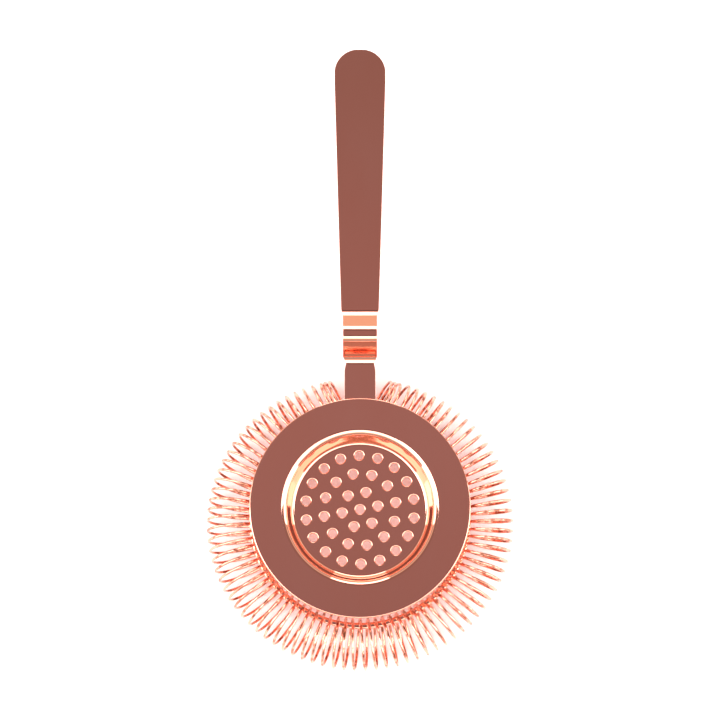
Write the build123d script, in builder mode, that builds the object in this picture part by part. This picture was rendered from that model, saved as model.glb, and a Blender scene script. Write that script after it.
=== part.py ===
"""Hawthorne strainer: a perforated plate with a handle and a coil spring threaded round a rail.

Frame: millimetres, +Z up (the side the barkeeper's finger presses), +Y along the handle.
The origin is on the axis of the plate, in the plane of the plate's underside.
"""
import os
from math import acos, cos, pi, radians, sin, sqrt

from build123d import *

# ---- driving dimensions --------------------------------------------------------------------------

# strainer plate
plate_radius = 37.5
plate_thickness = 1.2
plate_edge_round = 0.4
dish_top_radius = 25.2       # corner where the flat rim turns down into the dish
dish_floor_radius = 23.05    # corner where the wall meets the flat floor
dish_depth = 6.0
dish_bend_radius = 1.2       # inside radius of both dish bends

# perforations: one in the middle and three circles round it
hole_radius = 1.5
hole_edge_round = 0.35
hole_circle_step = 6.2
hole_start_angle = 11

# handle strip
strip_thickness = 1.4
strip_edge_round = 0.2
tongue_start = 30.8          # end of the tongue that laps under the plate
neck_end = 51.35             # corner where the neck turns up to the shelf
shelf_start = 57.0
shelf_end = 60.5
grip_start = 65.2
handle_tip = 157.5
shelf_height = 8.0           # middle of the sheet above the plate's underside
grip_height = 11.1
bend_radii = [3.9, 1.95, 4.15, 3.4]      # middle of the sheet, from the neck to the grip
neck_half_width = 5.3
waist_start = 49.3           # relief beside the first bend
waist_end = 50.3
waist_half_width = 4.9
waist_taper = 2.0            # length over which the strip comes in to the waist and goes out again
shelf_half_width = 5.8
grip_root_half_width = 6.4
grip_root_taper = 1.5
grip_half_width = 8.75
grip_widest = 145.5          # from here to the tip the sides are parallel
grip_corner_radius = 8.2

# coil spring: one wire wound along an oval path
wire_radius = 0.475
loop_radius = 8.65           # centre of the wire to centre of the loop
path_half_x = 43.4
path_half_y = 41.4
path_centre_y = -4.0
coil_height = -9.3           # centre of the loops below the plate's underside
gap_half_angle = 8.0         # the open gap that the neck passes through
close_turns = 2.5            # turns that lie side by side at each end
close_pitch_angle = 1.75
turn_count = 88
end_lean_angle = 15.0        # the last loops turn away from the neck at their outer side
end_roll_angle = 2.4         # and their tops stand back from it, round the path
settle_turns = 10            # turns over which the loops come back square to the path
turns_per_piece = 8
points_per_turn = 12

# rail ring, a flat band that the loops hang on, and its posts
rail_inner_radius = 35.8
rail_outer_radius = 37.9
rail_thickness = 1.2
rail_edge_round = 0.45
rail_centre_y = -2.3
post_radius = 0.6
rear_post_reach = 3.2        # the rear posts stand this far each side of the middle, under the tongue
side_post_turn = 14          # the side posts stand between this turn and the next, at both sides

# ---- strainer plate ------------------------------------------------------------------------------

floor_z = -dish_depth
floor_top_z = plate_thickness - dish_depth
wall_shift = plate_thickness * 0.7       # keeps the steep wall as thick as the sheet

with BuildPart() as strainer_plate:
    with BuildSketch(Plane.XZ) as plate_section:
        with BuildLine():
            Polyline(
                (0, floor_z),
                (dish_floor_radius + wall_shift, floor_z),
                (dish_top_radius + wall_shift, 0),
                (plate_radius, 0),
                (plate_radius, plate_thickness),
                (dish_top_radius, plate_thickness),
                (dish_floor_radius, floor_top_z),
                (0, floor_top_z),
                close=True,
            )
        make_face()
        bends = plate_section.vertices().filter_by_position(
            Axis.X, dish_floor_radius - 0.1, dish_top_radius + wall_shift + 0.1)
        inside_bends = bends.filter_by(lambda v: v.X < dish_floor_radius + 0.1 or v.X > dish_top_radius + 0.1)
        outside_bends = bends.filter_by(lambda v: v not in inside_bends)
        fillet(inside_bends, radius=dish_bend_radius)
        fillet(outside_bends, radius=dish_bend_radius + plate_thickness)
        rim = plate_section.vertices().filter_by_position(Axis.X, plate_radius - 0.1, plate_radius + 0.1)
        fillet(rim, radius=plate_edge_round)
    revolve(axis=Axis.Z)
    with Locations((0, 0, floor_top_z)):
        Hole(radius=hole_radius, depth=2 * plate_thickness)
        for circle in (1, 2, 3):
            with PolarLocations(circle * hole_circle_step, 6 * circle, start_angle=hole_start_angle):
                Hole(radius=hole_radius, depth=2 * plate_thickness)
    hole_edges = strainer_plate.edges().filter_by(GeomType.CIRCLE).filter_by(
        lambda e: abs(e.radius - hole_radius) < 0.01)
    fillet(hole_edges, radius=hole_edge_round)
strainer_plate.part.label = "strainer_plate"

# ---- handle: a side profile cut to its plan outline ----------------------------------------------

tongue_z = -strip_thickness / 2
profile_points = [
    (tongue_start, tongue_z),
    (neck_end, tongue_z),
    (shelf_start, shelf_height),
    (shelf_end, shelf_height),
    (grip_start, grip_height),
    (handle_tip, grip_height),
]

right_side = [
    (neck_half_width, tongue_start),
    (neck_half_width, waist_start - waist_taper),
    (waist_half_width, waist_start),
    (waist_half_width, waist_end),
    (shelf_half_width, waist_end + waist_taper),
    (shelf_half_width, grip_start - grip_root_taper / 2),
    (grip_root_half_width, grip_start + grip_root_taper / 2),
    (grip_half_width, grip_widest),
    (grip_half_width, handle_tip),
]
left_side = [(-x, y) for x, y in reversed(right_side)]

with BuildPart() as handle:
    with BuildSketch(Plane.YZ):
        with BuildLine():
            FilletPolyline(*profile_points, radius=bend_radii)
        trace(line_width=strip_thickness)
    extrude(amount=2 * grip_half_width, both=True)
    with BuildSketch(Plane.XY.offset(-2 * grip_height)) as handle_plan:
        with BuildLine():
            Polyline(*right_side, *left_side, close=True)
        make_face()
        fillet(handle_plan.vertices().group_by(Axis.Y)[-1], radius=grip_corner_radius)
    extrude(amount=4 * grip_height, mode=Mode.INTERSECT)
    fillet(handle.edges(), radius=strip_edge_round)
handle.part.label = "handle"

# ---- coil spring ---------------------------------------------------------------------------------

open_turns = turn_count - 2 * close_turns
open_pitch_angle = (360 - 2 * gap_half_angle - 2 * close_turns * close_pitch_angle) / open_turns


def path_angle(turn):
    """Angle round the path, from the front of the strainer, that the wire has reached after some turns."""
    middle_turn = turn - turn_count / 2
    half_open = open_turns / 2
    open_part = max(-half_open, min(half_open, middle_turn))
    return open_part * open_pitch_angle + (middle_turn - open_part) * close_pitch_angle


def end_share(turn):
    """1 in the close turns at the start, -1 in those at the end, and 0 once the loops have settled."""
    from_start = min(1.0, max(0.0, (close_turns + settle_turns - turn) / settle_turns))
    from_end = min(1.0, max(0.0, (close_turns + settle_turns - turn_count + turn) / settle_turns))
    return from_start**2 - from_end**2


def wire_point(turn):
    """Centre of the wire after some turns, counted from the inner side of the first loop."""
    roll = end_roll_angle * end_share(turn) * sin(2 * pi * turn)
    around = radians(path_angle(turn) + roll)
    outward = radians(path_angle(turn) + end_lean_angle * end_share(turn))
    reach = -loop_radius * cos(2 * pi * turn)
    return (
        path_half_x * sin(around) + reach * sin(outward),
        path_centre_y - path_half_y * cos(around) - reach * cos(outward),
        coil_height + loop_radius * sin(2 * pi * turn),
    )


def spring_piece(first_turn):
    """One length of the wire, from one inner side of the coil to another."""
    count = turns_per_piece * points_per_turn
    points = [wire_point(first_turn + i / points_per_turn) for i in range(count + 1)]
    with BuildPart() as piece:
        with BuildLine() as wire_line:
            Spline(*points)
        with BuildSketch(Plane(wire_line.line @ 0, z_dir=wire_line.line % 0)):
            Circle(wire_radius)
        sweep(is_frenet=False)
    return piece


spring_pieces = []
for number in range(turn_count // turns_per_piece):
    spring_turns = spring_piece(number * turns_per_piece)
    spring_turns.part.label = f"spring_turns_{number + 1:02d}"
    spring_pieces.append(spring_turns)

# ---- rail ring and posts -------------------------------------------------------------------------

rail_top = coil_height + rail_thickness / 2

with BuildPart() as spring_rail:
    with BuildSketch(Plane.XY.offset(rail_top - rail_thickness)):
        with Locations((0, rail_centre_y)):
            Circle(rail_outer_radius)
            Circle(rail_inner_radius, mode=Mode.SUBTRACT)
    extrude(amount=rail_thickness)
    fillet(spring_rail.edges().filter_by(GeomType.CIRCLE), radius=rail_edge_round)
spring_rail.part.label = "spring_rail"

rail_radius = (rail_inner_radius + rail_outer_radius) / 2


def rail_point(turn):
    """Where the line through a loop's middle meets the middle of the rail, seen from above."""
    around = radians(path_angle(turn))
    x = path_half_x * sin(around)
    y = path_centre_y - path_half_y * cos(around) - rail_centre_y
    along = x * sin(around) - y * cos(around)
    inward = along - sqrt(along**2 - x**2 - y**2 + rail_radius**2)
    return x - inward * sin(around), y + inward * cos(around) + rail_centre_y


rail_crossing = acos((path_half_x - rail_radius) / loop_radius) / (2 * pi)
between_turns = 0.5 + rail_crossing
left_post = rail_point(side_post_turn + between_turns)
right_post = rail_point(turn_count - side_post_turn - 1 + between_turns)
rear_post_y = rail_centre_y + sqrt(rail_radius**2 - rear_post_reach**2)

with BuildPart() as rail_posts:
    with BuildSketch(Plane.XY.offset(rail_top)):
        with Locations(left_post, right_post):
            Circle(post_radius)
    extrude(amount=-rail_top)
    with BuildSketch(Plane.XY.offset(rail_top)):
        with Locations((-rear_post_reach, rear_post_y), (rear_post_reach, rear_post_y)):
            Circle(post_radius)
    extrude(amount=-rail_top - strip_thickness)
rail_posts.part.label = "rail_posts"

# ---- files ---------------------------------------------------------------------------------------

os.makedirs("parts", exist_ok=True)
for piece in [strainer_plate, handle, spring_rail, rail_posts, *spring_pieces]:
    export_step(piece.part, f"parts/{piece.part.label}.step")
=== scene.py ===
"""Looks of a hawthorne strainer: copper-plated plate and handle, coil spring and the rail it hangs on.

Sizes below are millimetres, as in the CAD source; MM turns them into Blender's metres.
"""
from math import acos, copysign, cos, pi, radians, sin, sqrt, tan

import bmesh
import bpy
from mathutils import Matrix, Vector


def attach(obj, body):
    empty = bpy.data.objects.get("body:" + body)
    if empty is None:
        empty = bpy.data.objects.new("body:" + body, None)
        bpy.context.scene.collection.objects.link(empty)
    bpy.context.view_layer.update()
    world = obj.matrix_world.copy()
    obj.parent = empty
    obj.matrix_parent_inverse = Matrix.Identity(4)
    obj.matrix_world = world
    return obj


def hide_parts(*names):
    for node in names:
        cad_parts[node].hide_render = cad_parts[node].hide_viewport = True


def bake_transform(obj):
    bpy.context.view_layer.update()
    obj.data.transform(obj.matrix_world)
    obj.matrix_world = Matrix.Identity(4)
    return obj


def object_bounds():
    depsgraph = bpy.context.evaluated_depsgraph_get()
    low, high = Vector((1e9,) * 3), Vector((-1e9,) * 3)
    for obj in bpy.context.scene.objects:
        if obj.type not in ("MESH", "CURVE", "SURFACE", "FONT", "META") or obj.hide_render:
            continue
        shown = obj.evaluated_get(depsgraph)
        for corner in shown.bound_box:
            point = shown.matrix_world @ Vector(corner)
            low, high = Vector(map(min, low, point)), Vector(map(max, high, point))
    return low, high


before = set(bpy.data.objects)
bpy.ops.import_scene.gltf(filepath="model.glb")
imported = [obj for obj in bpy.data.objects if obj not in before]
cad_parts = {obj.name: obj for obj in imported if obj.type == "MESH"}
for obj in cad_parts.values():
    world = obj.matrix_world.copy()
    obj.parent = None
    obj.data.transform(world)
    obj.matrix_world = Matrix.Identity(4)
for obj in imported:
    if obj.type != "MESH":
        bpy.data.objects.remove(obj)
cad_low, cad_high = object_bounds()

MM = 0.001
STRAINER = "strainer"        # the body that everything but the spring's front rides on

# ---- driving dimensions, as in the CAD source ----------------------------------------------------

PLATE_RADIUS = 37.5
PLATE_THICKNESS = 1.2
PLATE_EDGE_ROUND = 0.4
DISH_TOP_RADIUS = 25.2
DISH_FLOOR_RADIUS = 23.05
DISH_DEPTH = 6.0
DISH_BEND_RADIUS = 1.2
WALL_SHIFT = 0.7 * PLATE_THICKNESS       # how far outside the dish's inner wall its outer one is
FLOOR_FLAT_RADIUS = 21.5

HOLE_RADIUS = 1.5
HOLE_LIP_TOP = 0.38          # the punched edge is drawn in on the top side
HOLE_LIP_UNDER = 0.22
HOLE_LIP_REACH = 0.6         # how far out a hole's own ring of mesh goes before the flat begins
HOLE_CIRCLE_STEP = 6.2
HOLE_START_ANGLE = 11

STRIP_THICKNESS = 1.4
STRIP_EDGE_ROUND = 0.1       # less than the CAD's 0.2, as a sheared edge catches the light
TONGUE_START = 30.8
NECK_END = 51.35
SHELF_START = 57.0
SHELF_END = 60.5
GRIP_START = 65.2
HANDLE_TIP = 157.5
SHELF_HEIGHT = 8.0
GRIP_HEIGHT = 11.1
BEND_RADII = (3.9, 1.95, 4.15, 3.4)
NECK_HALF_WIDTH = 5.3
WAIST_START = 49.3
WAIST_END = 50.3
WAIST_HALF_WIDTH = 4.9
WAIST_TAPER = 2.0
SHELF_HALF_WIDTH = 5.8
GRIP_ROOT_HALF_WIDTH = 6.4
GRIP_ROOT_TAPER = 1.5
GRIP_HALF_WIDTH = 8.75
GRIP_WIDEST = 145.5
GRIP_CORNER_RADIUS = 8.2

WIRE_RADIUS = 0.475
LOOP_RADIUS = 8.65
PATH_HALF_X = 43.4
PATH_HALF_Y = 41.4
PATH_CENTRE_Y = -4.0
COIL_HEIGHT = -9.3
GAP_HALF_ANGLE = 8.0
CLOSE_TURNS = 2.5
CLOSE_PITCH_ANGLE = 1.75
TURN_COUNT = 88
END_LEAN_ANGLE = 15.0
END_ROLL_ANGLE = 2.4
SETTLE_TURNS = 10
UNEVEN_ANGLE = 0.16          # how far a turn strays from its even place
UNEVEN_FAST, UNEVEN_SLOW = 1.7, 0.31

RAIL_INNER_RADIUS = 35.8
RAIL_OUTER_RADIUS = 37.9
RAIL_THICKNESS = 1.2
RAIL_EDGE_ROUND = 0.5
RAIL_CENTRE_Y = -2.3
RAIL_RADIUS = (RAIL_INNER_RADIUS + RAIL_OUTER_RADIUS) / 2
POST_RADIUS = 0.6
POST_SINK = 0.05             # how far a post's ends go into what they are brazed to
POST_HEAD_FLARE = 0.5
POST_FOOT_FLARE = 0.35
POST_FOOT_FLARE_HEIGHT = 0.45
POST_FLARE_ROUND = 0.4
POST_RIM_ROUND = 0.02
REAR_POST_REACH = 3.2
SIDE_POST_TURN = 14

# ---- how finely curves are cut up ----------------------------------------------------------------

PLATE_SEGMENTS, PLATE_BEND_STEPS = 288, 14
HOLE_SEGMENTS, HOLE_LIP_STEPS = 40, 6
STRIP_BEND_STEPS, STRIP_BEND_LENGTH = 16, 0.9
GRIP_LENGTH_STEP = 1.5
TIP_STEPS = 40
STEPS_PER_TURN, WIRE_SIDES = 44, 12
RAIL_SEGMENTS, RAIL_EDGE_STEPS = 360, 7
POST_SEGMENTS, POST_FLARE_STEPS = 24, 5

# ---- mesh helpers --------------------------------------------------------------------------------

WELD_DISTANCE = 1e-7         # metres
LEVEL_TOLERANCE = 1e-4


def new_piece(name, points, faces, material):
    """A smooth mesh object from points in millimetres, with its material."""
    mesh = bpy.data.meshes.new(name)
    mesh.from_pydata([(x * MM, y * MM, z * MM) for x, y, z in points], [], faces)
    mesh.validate()
    work = bmesh.new()
    work.from_mesh(mesh)
    bmesh.ops.remove_doubles(work, verts=work.verts, dist=WELD_DISTANCE)
    bmesh.ops.recalc_face_normals(work, faces=work.faces)
    work.to_mesh(mesh)
    work.free()
    mesh.shade_smooth()
    mesh.materials.append(material)
    piece = bpy.data.objects.new(name, mesh)
    bpy.context.scene.collection.objects.link(piece)
    return piece


def keep_flats_flat(piece):
    """Lets large flat faces set the normals at their edges, so that mirror-like sheet stays even."""
    modifier = piece.modifiers.new("flats", "WEIGHTED_NORMAL")
    modifier.weight = 100
    modifier.keep_sharp = True


def round_corners(corners, radii, steps=8):
    """An open chain of points with its inner corners rounded; radii has one value per inner corner."""
    chain = [Vector(corners[0])]
    for before, corner, after, radius in zip(corners, corners[1:], corners[2:], radii):
        before, corner, after = Vector(before), Vector(corner), Vector(after)
        back = (before - corner).normalized()
        onward = (after - corner).normalized()
        half = back.angle(onward) / 2
        centre = corner + (back + onward).normalized() * (radius / sin(half))
        start = corner + back * (radius / tan(half)) - centre
        end = corner + onward * (radius / tan(half)) - centre
        sweep = start.angle(end)
        for step in range(steps + 1):
            share = step / steps
            weight_start = sin((1 - share) * sweep) / sin(sweep)
            weight_end = sin(share * sweep) / sin(sweep)
            chain.append(centre + start * weight_start + end * weight_end)
    chain.append(Vector(corners[-1]))
    return chain


def lathe(chain, segments, centre_y=0.0, closed=False):
    """Points and faces of a chain of (radius, height) turned about an upright axis."""
    points = []
    for radius, height in chain:
        for step in range(segments):
            angle = 2 * pi * step / segments
            points.append((radius * cos(angle), centre_y + radius * sin(angle), height))
    faces = []
    rings = len(chain)
    for ring in range(rings if closed else rings - 1):
        here, there = ring * segments, (ring + 1) % rings * segments
        for step in range(segments):
            after = (step + 1) % segments
            faces.append((here + step, here + after, there + after, there + step))
    return points, faces


CAP_DOME = 0.6               # height of the dome on a wire's end, as a share of its radius


def tube(path, radius, sides):
    """Points and faces of a round wire along a path, with a slightly domed cap at both ends."""
    points = []
    side = None
    for index, here in enumerate(path):
        along = (path[min(index + 1, len(path) - 1)] - path[max(index - 1, 0)]).normalized()
        start = side if side else Vector((0, 0, 1)).cross(along)
        side = (start - along * start.dot(along)).normalized()
        other = along.cross(side)
        for step in range(sides):
            angle = 2 * pi * step / sides
            points.append(here + (side * cos(angle) + other * sin(angle)) * radius)
    faces = []
    for ring in range(len(path) - 1):
        here, there = ring * sides, (ring + 1) * sides
        for step in range(sides):
            after = (step + 1) % sides
            faces.append((here + step, here + after, there + after, there + step))
    for ring, nearby in ((0, 1), (len(path) - 1, len(path) - 2)):
        outward = (path[ring] - path[nearby]).normalized()
        points.append(path[ring] + outward * radius * CAP_DOME)
        for step in range(sides):
            faces.append((ring * sides + step, ring * sides + (step + 1) % sides, len(points) - 1))
    return points, faces


# ---- materials -----------------------------------------------------------------------------------


SPECK_CORE = 0.6             # the solid part of a speck, as a share of its radius


class Painter:
    """Adds and links the nodes of one material."""

    def __init__(self, name):
        self.material = bpy.data.materials.new(name)
        self.material.use_nodes = True
        self.tree = self.material.node_tree
        self.shader = self.tree.nodes["Principled BSDF"]
        self.place = self.add("ShaderNodeTexCoord").outputs["Object"]

    def add(self, kind, **settings):
        node = self.tree.nodes.new(kind)
        for key, value in settings.items():
            setattr(node, key, value)
        return node

    def link(self, output, target):
        self.tree.links.new(output, target)

    def feed(self, name, source):
        """Feeds one of the shader's own sockets."""
        self.link(source, self.shader.inputs[name])

    def bump(self, height, strength, distance):
        node = self.add("ShaderNodeBump")
        node.inputs["Strength"].default_value = strength
        node.inputs["Distance"].default_value = distance
        self.link(height, node.inputs["Height"])
        self.feed("Normal", node.outputs["Normal"])

    def noise(self, scale, detail=3.0, stretch=(1, 1, 1)):
        mapping = self.add("ShaderNodeMapping")
        mapping.inputs["Scale"].default_value = stretch
        self.link(self.place, mapping.inputs["Vector"])
        noise = self.add("ShaderNodeTexNoise")
        noise.inputs["Scale"].default_value = scale
        noise.inputs["Detail"].default_value = detail
        self.link(mapping.outputs["Vector"], noise.inputs["Vector"])
        return noise.outputs["Fac"]

    def ramp(self, source, low, high, value_low, value_high):
        """Maps source between low and high to between the two values, and holds it outside them."""
        node = self.add("ShaderNodeMapRange", clamp=True)
        self.link(source, node.inputs["Value"])
        limits = {"From Min": low, "From Max": high, "To Min": value_low, "To Max": value_high}
        for socket, value in limits.items():
            node.inputs[socket].default_value = value
        return node.outputs["Result"]

    def combine(self, first, second, operation="ADD"):
        node = self.add("ShaderNodeMath", operation=operation)
        self.link(first, node.inputs[0])
        self.link(second, node.inputs[1])
        return node.outputs["Value"]

    def mix(self, share, first, second):
        """A colour between first and second, each a colour or another node's output."""
        node = self.add("ShaderNodeMix", data_type="RGBA")
        self.link(share, node.inputs["Factor"])
        for socket, value in ((node.inputs[6], first), (node.inputs[7], second)):
            if isinstance(value, tuple):
                socket.default_value = (*value, 1)
            else:
                self.link(value, socket)
        return node.outputs[2]

    def specks(self, scale, size, share):
        """1 inside small round specks, in a share of the cells of a scattered grid."""
        cells = self.add("ShaderNodeTexVoronoi")
        cells.inputs["Scale"].default_value = scale
        self.link(self.place, cells.inputs["Vector"])
        parts = self.add("ShaderNodeSeparateColor")
        self.link(cells.outputs["Color"], parts.inputs["Color"])
        near = self.ramp(cells.outputs["Distance"], size * SPECK_CORE, size, 1, 0)
        chosen = self.ramp(parts.outputs["Red"], 1 - share, 1 - share + 0.01, 0, 1)
        return self.combine(near, chosen, "MULTIPLY")


COPPER = (0.96, 0.48, 0.36)
COPPER_DEEP = (0.94, 0.44, 0.32)
# painted dark reflection: stretches along the wire coloured as if it mirrored the dim ceiling
WIRE_PAINTED_REFLECTION = (0.46, 0.18, 0.115)
# painted red reflection on the rail: the copper of plate and loops mirrored in the shaded gap between
# them
RAIL_PAINTED_REFLECTION = (0.93, 0.37, 0.23)
DUST = (0.92, 0.72, 0.66)


def copper_sheet():
    """Polished copper plating on sheet: faint smears, fine scratches and a little dust."""
    paint = Painter("copper_sheet")
    smears = paint.noise(scale=38, detail=4, stretch=(1, 0.45, 1))
    scratches = paint.noise(scale=900, detail=2, stretch=(1, 0.03, 1))
    dust = paint.specks(scale=260, size=0.055, share=0.10)
    colour = paint.mix(paint.ramp(smears, 0.35, 0.7, 0, 1), COPPER, COPPER_DEEP)
    paint.feed("Base Color", paint.mix(dust, colour, DUST))
    polish = paint.ramp(smears, 0.3, 0.75, 0.04, 0.09)
    paint.feed("Roughness", paint.combine(polish, paint.ramp(dust, 0, 1, 0, 0.4)))
    paint.feed("Metallic", paint.ramp(dust, 0, 1, 1, 0.35))
    paint.bump(paint.combine(scratches, dust), strength=0.03, distance=0.0001)
    return paint.material


def copper_wire(name, painted_reflection):
    """Bright drawn wire: fine draw lines, and short stretches of a painted darker reflection colour along
    it.
    """
    paint = Painter(name)
    drift = paint.noise(scale=120, detail=2)
    # patches where the painted reflection colour takes over from the bright copper
    painted_reflection_patches = paint.noise(scale=430, detail=2)
    grain = paint.noise(scale=2600, detail=2)
    bright = paint.mix(paint.ramp(drift, 0.35, 0.65, 0, 1), COPPER, COPPER_DEEP)
    paint.feed("Base Color", paint.mix(paint.ramp(painted_reflection_patches, 0.51, 0.6, 0, 1), bright, painted_reflection))
    paint.feed("Roughness", paint.ramp(drift, 0.3, 0.7, 0.04, 0.1))
    paint.shader.inputs["Metallic"].default_value = 1.0
    paint.bump(grain, strength=0.05, distance=0.00005)
    return paint.material


FLOOR_TONES = (0.93, 0.86, 0.85), (0.95, 0.88, 0.87)
FLOOR_GLOW_COLOUR = (1, 0.48, 0.44)
FLOOR_GLOW = 0.13


def pale_floor():
    """White product table, with a faint glow for the light that polished copper throws down on it."""
    paint = Painter("pale_floor")
    paint.feed("Base Color", paint.mix(paint.noise(scale=6, detail=2), *FLOOR_TONES))
    paint.shader.inputs["Roughness"].default_value = 0.6
    paint.shader.inputs["Emission Color"].default_value = (*FLOOR_GLOW_COLOUR, 1)
    paint.shader.inputs["Emission Strength"].default_value = FLOOR_GLOW
    return paint.material


# ---- strainer plate ------------------------------------------------------------------------------


def hole_centres():
    yield 0.0, 0.0
    for circle in (1, 2, 3):
        for step in range(6 * circle):
            angle = radians(HOLE_START_ANGLE + step * 60 / circle)
            yield circle * HOLE_CIRCLE_STEP * cos(angle), circle * HOLE_CIRCLE_STEP * sin(angle)


def strainer_plate(material):
    """The plate: its turned section, the perforations with drawn-in edges, and the flat floor between."""
    under, top = -DISH_DEPTH, PLATE_THICKNESS - DISH_DEPTH
    outside_bend = DISH_BEND_RADIUS + PLATE_THICKNESS
    section = round_corners(
        [
            (FLOOR_FLAT_RADIUS, top),
            (DISH_FLOOR_RADIUS, top),
            (DISH_TOP_RADIUS, PLATE_THICKNESS),
            (PLATE_RADIUS, PLATE_THICKNESS),
            (PLATE_RADIUS, 0),
            (DISH_TOP_RADIUS + WALL_SHIFT, 0),
            (DISH_FLOOR_RADIUS + WALL_SHIFT, under),
            (FLOOR_FLAT_RADIUS, under),
        ],
        [
            DISH_BEND_RADIUS, outside_bend, PLATE_EDGE_ROUND,
            PLATE_EDGE_ROUND, DISH_BEND_RADIUS, outside_bend,
        ],
        steps=PLATE_BEND_STEPS,
    )
    points, faces = lathe(section, PLATE_SEGMENTS)
    lip_outside = HOLE_RADIUS + HOLE_LIP_REACH
    lip = round_corners(
        [(lip_outside, top), (HOLE_RADIUS, top), (HOLE_RADIUS, under), (lip_outside, under)],
        [HOLE_LIP_TOP, HOLE_LIP_UNDER],
        steps=HOLE_LIP_STEPS,
    )
    for x, y in hole_centres():
        ring_points, ring_faces = lathe(lip, HOLE_SEGMENTS)
        offset = len(points)
        points += [(x + a, y + b, c) for a, b, c in ring_points]
        faces += [tuple(offset + corner for corner in face) for face in ring_faces]
    mesh = bpy.data.meshes.new("strainer_plate_shell")
    mesh.from_pydata(points, [], faces)
    work = bmesh.new()
    work.from_mesh(mesh)
    for level in (top, under):
        rims = [
            edge for edge in work.edges
            if edge.is_boundary and all(abs(vert.co.z - level) < LEVEL_TOLERANCE for vert in edge.verts)
        ]
        bmesh.ops.triangle_fill(work, edges=rims, use_beauty=True, use_dissolve=False)
    points = [tuple(vert.co) for vert in work.verts]
    work.verts.index_update()
    faces = [tuple(vert.index for vert in face.verts) for face in work.faces]
    work.free()
    bpy.data.meshes.remove(mesh)
    plate = new_piece("plate_disc", points, faces, material)
    keep_flats_flat(plate)
    return plate


# ---- handle --------------------------------------------------------------------------------------

TONGUE_Z = -STRIP_THICKNESS / 2
PROFILE_POINTS = (
    (TONGUE_START, TONGUE_Z),
    (NECK_END, TONGUE_Z),
    (SHELF_START, SHELF_HEIGHT),
    (SHELF_END, SHELF_HEIGHT),
    (GRIP_START, GRIP_HEIGHT),
    (HANDLE_TIP, GRIP_HEIGHT),
)
OUTLINE = (
    (TONGUE_START, NECK_HALF_WIDTH),
    (WAIST_START - WAIST_TAPER, NECK_HALF_WIDTH),
    (WAIST_START, WAIST_HALF_WIDTH),
    (WAIST_END, WAIST_HALF_WIDTH),
    (WAIST_END + WAIST_TAPER, SHELF_HALF_WIDTH),
    (GRIP_START - GRIP_ROOT_TAPER / 2, SHELF_HALF_WIDTH),
    (GRIP_START + GRIP_ROOT_TAPER / 2, GRIP_ROOT_HALF_WIDTH),
    (GRIP_WIDEST, GRIP_HALF_WIDTH),
    (HANDLE_TIP, GRIP_HALF_WIDTH),
)


def half_width(y):
    """Half the strip's width at y, from its outline and the round corners of its tip."""
    for (y_low, w_low), (y_high, w_high) in zip(OUTLINE, OUTLINE[1:]):
        if y <= y_high:
            share = (y - y_low) / (y_high - y_low)
            width = w_low + (w_high - w_low) * share
            break
    from_tip = HANDLE_TIP - y
    if from_tip < GRIP_CORNER_RADIUS:
        reach = GRIP_CORNER_RADIUS - from_tip
        width += sqrt(max(0.0, GRIP_CORNER_RADIUS**2 - reach**2)) - GRIP_CORNER_RADIUS
    return width


LEAST_STEP = 0.02            # stations nearer than this would give slivers


def handle_stations():
    """Places along the strip's middle, close together where it bends and at its two ends."""
    chain = round_corners(PROFILE_POINTS, BEND_RADII, steps=STRIP_BEND_STEPS)[:-1]
    fine = [chain[0] + Vector((further, 0)) for further in (0, 0.02, 0.05, STRIP_EDGE_ROUND)]
    for here, there in zip(chain, chain[1:]):
        count = max(1, round((there - here).length / STRIP_BEND_LENGTH))
        for step in range(1, count + 1):
            spot = here.lerp(there, step / count)
            if spot.x > fine[-1].x + LEAST_STEP:
                fine.append(spot)
    while fine[-1].x + GRIP_LENGTH_STEP < HANDLE_TIP - GRIP_CORNER_RADIUS:
        fine.append(Vector((fine[-1].x + GRIP_LENGTH_STEP, GRIP_HEIGHT)))
    for step in range(TIP_STEPS + 1):
        turned = sin(pi / 2 * step / TIP_STEPS)
        fine.append(Vector((HANDLE_TIP - GRIP_CORNER_RADIUS * (1 - turned), GRIP_HEIGHT)))
    return fine


# where the flats are cut across their width, closer towards the edges
ACROSS = (-1, -0.97, -0.93, -0.86, -0.75, -0.5, 0, 0.5, 0.75, 0.86, 0.93, 0.97, 1)


def strip_section(flat, half_thickness, corner):
    """A cross-section of the strip, as (across, out) pairs: flat top and underside, rounded edges."""
    level = half_thickness - corner
    top = [(flat * share, half_thickness) for share in ACROSS]
    edge = []
    for degrees_up in range(75, -90, -15):
        angle = radians(degrees_up)
        edge.append((flat + corner * cos(angle), copysign(level, degrees_up) + corner * sin(angle)))
    turned = [(-x, -n) for x, n in top] + [(-x, -n) for x, n in edge]
    return top + edge + turned


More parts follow.
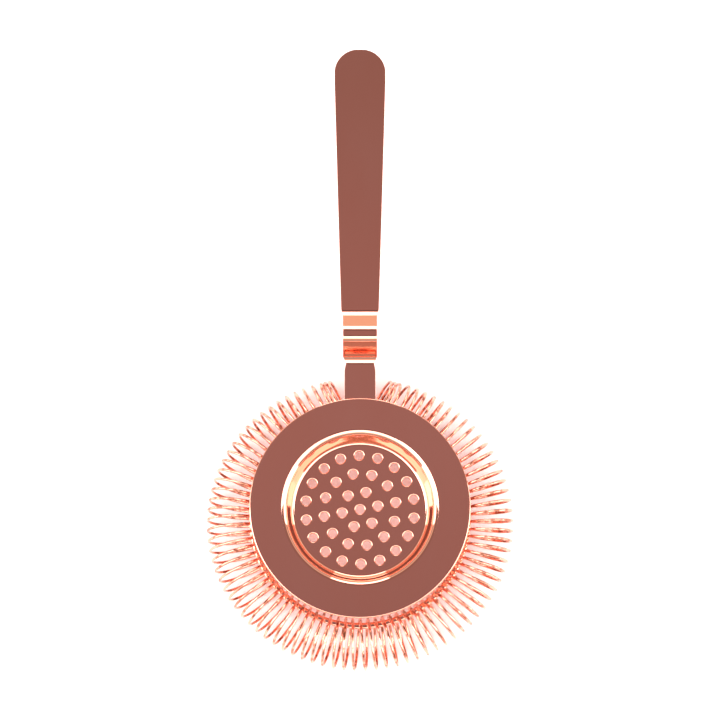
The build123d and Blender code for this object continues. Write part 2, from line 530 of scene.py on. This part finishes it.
def handle_strip(material):
    """The strip, lofted through rounded cross-sections along its bent profile."""
    stations = handle_stations()
    points, faces = [], []
    for index, spot in enumerate(stations):
        before, after = stations[max(index - 1, 0)], stations[min(index + 1, len(stations) - 1)]
        along = (after - before).normalized()
        facing = Vector((-along.y, along.x))
        from_end = min(spot.x - TONGUE_START, HANDLE_TIP - spot.x)
        half_thickness = STRIP_THICKNESS / 2
        if from_end < STRIP_EDGE_ROUND:
            reach = STRIP_EDGE_ROUND - from_end
            half_thickness += sqrt(max(0.0, STRIP_EDGE_ROUND**2 - reach**2)) - STRIP_EDGE_ROUND
        width = half_width(spot.x)
        for x, out in strip_section(width - STRIP_EDGE_ROUND, half_thickness, STRIP_EDGE_ROUND):
            points.append((x, spot.x + facing.x * out, spot.y + facing.y * out))
    ring_size = len(points) // len(stations)
    for index in range(len(stations) - 1):
        here, there = index * ring_size, (index + 1) * ring_size
        for step in range(ring_size):
            after = (step + 1) % ring_size
            faces.append((here + step, here + after, there + after, there + step))
    faces.append(tuple(range(ring_size)))
    faces.append(tuple(reversed(range(len(points) - ring_size, len(points)))))
    strip = new_piece("handle_strip", points, faces, material)
    keep_flats_flat(strip)
    return strip


# ---- coil spring, rail and posts -----------------------------------------------------------------

OPEN_TURNS = TURN_COUNT - 2 * CLOSE_TURNS
OPEN_PITCH_ANGLE = (360 - 2 * GAP_HALF_ANGLE - 2 * CLOSE_TURNS * CLOSE_PITCH_ANGLE) / OPEN_TURNS


def path_angle(turn):
    """Angle round the coil's path, from the front, that the wire has reached after some turns."""
    middle_turn = turn - TURN_COUNT / 2
    open_part = max(-OPEN_TURNS / 2, min(OPEN_TURNS / 2, middle_turn))
    return open_part * OPEN_PITCH_ANGLE + (middle_turn - open_part) * CLOSE_PITCH_ANGLE


def end_share(turn):
    """1 in the close turns at the start, -1 in those at the end, and 0 once the loops have settled."""
    from_start = min(1.0, max(0.0, (CLOSE_TURNS + SETTLE_TURNS - turn) / SETTLE_TURNS))
    from_end = min(1.0, max(0.0, (CLOSE_TURNS + SETTLE_TURNS - TURN_COUNT + turn) / SETTLE_TURNS))
    return from_start**2 - from_end**2


def wire_point(turn):
    """Centre of the wire after some turns, with the slight unevenness of a spring sprung by hand."""
    uneven = UNEVEN_ANGLE * sin(UNEVEN_FAST * turn) * sin(UNEVEN_SLOW * turn + 1)
    roll = END_ROLL_ANGLE * end_share(turn) * sin(2 * pi * turn)
    around = radians(path_angle(turn) + roll + uneven)
    outward = radians(path_angle(turn) + END_LEAN_ANGLE * end_share(turn))
    reach = -LOOP_RADIUS * cos(2 * pi * turn)
    return Vector((
        PATH_HALF_X * sin(around) + reach * sin(outward),
        PATH_CENTRE_Y - PATH_HALF_Y * cos(around) - reach * cos(outward),
        COIL_HEIGHT + LOOP_RADIUS * sin(2 * pi * turn),
    ))


def coil_spring(material):
    path = [wire_point(step / STEPS_PER_TURN) for step in range(TURN_COUNT * STEPS_PER_TURN + 1)]
    points, faces = tube(path, WIRE_RADIUS, WIRE_SIDES)
    return new_piece("coil_spring", points, faces, material)


def rail_band(material):
    """The flat ring with rounded edges that the loops hang on."""
    low, high = COIL_HEIGHT - RAIL_THICKNESS / 2, COIL_HEIGHT + RAIL_THICKNESS / 2
    section = round_corners(
        [(RAIL_RADIUS, high), (RAIL_OUTER_RADIUS, high), (RAIL_OUTER_RADIUS, low),
         (RAIL_INNER_RADIUS, low), (RAIL_INNER_RADIUS, high), (RAIL_RADIUS, high)],
        [RAIL_EDGE_ROUND] * 4,
        steps=RAIL_EDGE_STEPS,
    )
    points, faces = lathe(section[:-1], RAIL_SEGMENTS, RAIL_CENTRE_Y, closed=True)
    return new_piece("rail_band", points, faces, material)


def rail_point(turn):
    """Where the line through a loop's middle meets the middle of the rail, seen from above."""
    around = radians(path_angle(turn))
    x = PATH_HALF_X * sin(around)
    y = PATH_CENTRE_Y - PATH_HALF_Y * cos(around) - RAIL_CENTRE_Y
    along = x * sin(around) - y * cos(around)
    inward = along - sqrt(along**2 - x**2 - y**2 + RAIL_RADIUS**2)
    return x - inward * sin(around), y + inward * cos(around) + RAIL_CENTRE_Y


def rail_pins(material):
    """The posts between plate and rail, each with a small flare of braze at both ends."""
    between_turns = 0.5 + acos((PATH_HALF_X - RAIL_RADIUS) / LOOP_RADIUS) / (2 * pi)
    rear_y = RAIL_CENTRE_Y + sqrt(RAIL_RADIUS**2 - REAR_POST_REACH**2)
    places = [
        (*rail_point(SIDE_POST_TURN + between_turns), 0),
        (*rail_point(TURN_COUNT - SIDE_POST_TURN - 1 + between_turns), 0),
        (-REAR_POST_REACH, rear_y, -STRIP_THICKNESS),
        (REAR_POST_REACH, rear_y, -STRIP_THICKNESS),
    ]
    foot = COIL_HEIGHT + RAIL_THICKNESS / 2 - POST_SINK
    points, faces = [], []
    for x, y, top in places:
        head = top + POST_SINK
        section = round_corners(
            [
                (0, head),
                (POST_RADIUS + POST_HEAD_FLARE, head),
                (POST_RADIUS, head - POST_HEAD_FLARE),
                (POST_RADIUS, foot + POST_FOOT_FLARE_HEIGHT),
                (POST_RADIUS + POST_FOOT_FLARE, foot),
                (0, foot),
            ],
            [POST_RIM_ROUND, POST_FLARE_ROUND, POST_FLARE_ROUND, POST_RIM_ROUND],
            steps=POST_FLARE_STEPS,
        )
        ring_points, ring_faces = lathe(section, POST_SEGMENTS)
        offset = len(points)
        points += [(x + a, y + b, c) for a, b, c in ring_points]
        faces += [tuple(offset + corner for corner in face) for face in ring_faces]
    return new_piece("rail_pins", points, faces, material)


# ---- assembly ------------------------------------------------------------------------------------

sheet_metal = copper_sheet()
wire_metal = copper_wire("copper_wire", WIRE_PAINTED_REFLECTION)
# the rail gets stretches of painted red reflection in place of the wire's painted dark ones
rail_metal = copper_wire("copper_rail", RAIL_PAINTED_REFLECTION)

for piece, node in (
    (strainer_plate(sheet_metal), "strainer_plate"),
    (handle_strip(sheet_metal), "handle"),
    (rail_band(rail_metal), "spring_rail"),
    (rail_pins(rail_metal), "rail_posts"),
):
    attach(piece, STRAINER)
    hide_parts(node)

spring = coil_spring(wire_metal)
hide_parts(*sorted(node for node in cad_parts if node.startswith("spring_turns")))
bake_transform(spring)

# ---- floor, light and camera ---------------------------------------------------------------------

FLOOR_SIZE = 6
FLOOR_CLEARANCE = 0.0002     # metres below the coil

bpy.ops.mesh.primitive_plane_add(size=FLOOR_SIZE, location=(0, 0, cad_low.z - FLOOR_CLEARANCE))
floor = bpy.context.object
floor.name = "floor"
floor.data.materials.append(pale_floor())


EVEN = (0.58, 0.52, 0.49)
OVERHEAD = (0.30, 0.217, 0.215)
OVERHEAD_BRIGHT = (0.365, 0.262, 0.275)
ZENITH = (0.315, 0.228, 0.242)
SALMON = (1.0, 0.84, 0.66)
ROOM = (                     # colours by height, from the horizon (0) to the zenith (1)
    (0.0, (0.9, 0.88, 0.88)),
    (0.07, EVEN),
    (0.42, EVEN),
    (0.52, SALMON),
    (0.60, SALMON),
    (0.70, OVERHEAD),
    (0.96, OVERHEAD),
    (0.986, OVERHEAD_BRIGHT),
    (1.0, ZENITH),
)
DARK = (0.12, 0.10, 0.10)    # a dim patch of ceiling a little in front of overhead
DARK_LEAN = radians(6)
DARK_WAY = (0, -sin(DARK_LEAN), cos(DARK_LEAN))
DARK_ANGLE = 6.5
DARK_EDGE = 0.2              # how soft the patch's edge is, as a share of its angle


def studio_world():
    """The room round the softboxes: even low down, and dim overhead, where sheet facing up mirrors it."""
    world = bpy.data.worlds.new("studio")
    bpy.context.scene.world = world
    world.use_nodes = True
    tree = world.node_tree
    place = tree.nodes.new("ShaderNodeTexCoord")
    parts = tree.nodes.new("ShaderNodeSeparateXYZ")
    tree.links.new(place.outputs["Generated"], parts.inputs["Vector"])
    ramp = tree.nodes.new("ShaderNodeValToRGB")
    tree.links.new(parts.outputs["Z"], ramp.inputs["Fac"])
    elements = ramp.color_ramp.elements
    while len(elements) < len(ROOM):
        elements.new(0.5)
    for element, (height, _) in zip(elements, ROOM):
        element.position = height
    for element, (_, colour) in zip(elements, ROOM):
        element.color = (*colour, 1)
    toward = tree.nodes.new("ShaderNodeVectorMath")
    toward.operation = "DOT_PRODUCT"
    toward.inputs[1].default_value = DARK_WAY
    tree.links.new(place.outputs["Generated"], toward.inputs[0])
    nearness = tree.nodes.new("ShaderNodeMapRange")
    nearness.inputs["From Min"].default_value = cos(radians(DARK_ANGLE * (1 + DARK_EDGE)))
    nearness.inputs["From Max"].default_value = cos(radians(DARK_ANGLE * (1 - DARK_EDGE)))
    tree.links.new(toward.outputs["Value"], nearness.inputs["Value"])
    darken = tree.nodes.new("ShaderNodeMix")
    darken.data_type = "RGBA"
    tree.links.new(nearness.outputs["Result"], darken.inputs["Factor"])
    tree.links.new(ramp.outputs["Color"], darken.inputs[6])
    darken.inputs[7].default_value = (*DARK, 1)
    tree.links.new(darken.outputs[2], tree.nodes["Background"].inputs["Color"])


studio_world()


def softbox(name, place, size, brightness, facing):
    """A large rectangular light of even brightness."""
    light = bpy.data.lights.new(name, "AREA")
    light.shape = "RECTANGLE"
    light.size, light.size_y = size
    light.energy = brightness * pi * size[0] * size[1]
    lamp = bpy.data.objects.new(name, light)
    bpy.context.scene.collection.objects.link(lamp)
    lamp.location = place
    lamp.rotation_euler = Vector(facing).to_track_quat("-Z", "Y").to_euler()


DOWN, LEFT, RIGHT, FORWARD = (0, 0, -1), (-1, 0, 0), (1, 0, 0), (0, -1, 0)
softbox("front_softbox", (0, -1.54, 2.4), (6.2, 2.1), 2.9, DOWN)
softbox("left_softbox", (-1.74, -0.1, 2.4), (2.72, 0.9), 5.4, DOWN)
softbox("left_panel", (-2.9, -0.2, 1.2), (2.6, 2.0), 3.2, RIGHT)
softbox("right_softbox", (1.74, -0.1, 2.4), (2.72, 0.9), 3.8, DOWN)
softbox("right_panel", (2.9, -0.2, 1.2), (2.6, 2.0), 3.2, LEFT)
softbox("rear_softbox", (0, 2.2, 1.35), (1.5, 1.5), 3.2, FORWARD)

CAMERA_DISTANCE = 1.0        # metres
CAMERA_ELEVATION = 79.6
VIEW_WIDTH = 0.247           # metres that the picture spans at the strainer
SENSOR_WIDTH = 36

target = (cad_low + cad_high) / 2
camera_data = bpy.data.cameras.new("camera")
camera_data.sensor_width = SENSOR_WIDTH
camera_data.lens = SENSOR_WIDTH * CAMERA_DISTANCE / VIEW_WIDTH
camera = bpy.data.objects.new("camera", camera_data)
bpy.context.scene.collection.objects.link(camera)
tilt = radians(CAMERA_ELEVATION)
back = Vector((0, -cos(tilt), sin(tilt)))
camera.location = target + back * CAMERA_DISTANCE
camera.rotation_euler = (-back).to_track_quat("-Z", "Y").to_euler()
bpy.context.scene.camera = camera
bpy.context.scene.view_settings.view_transform = "Standard"
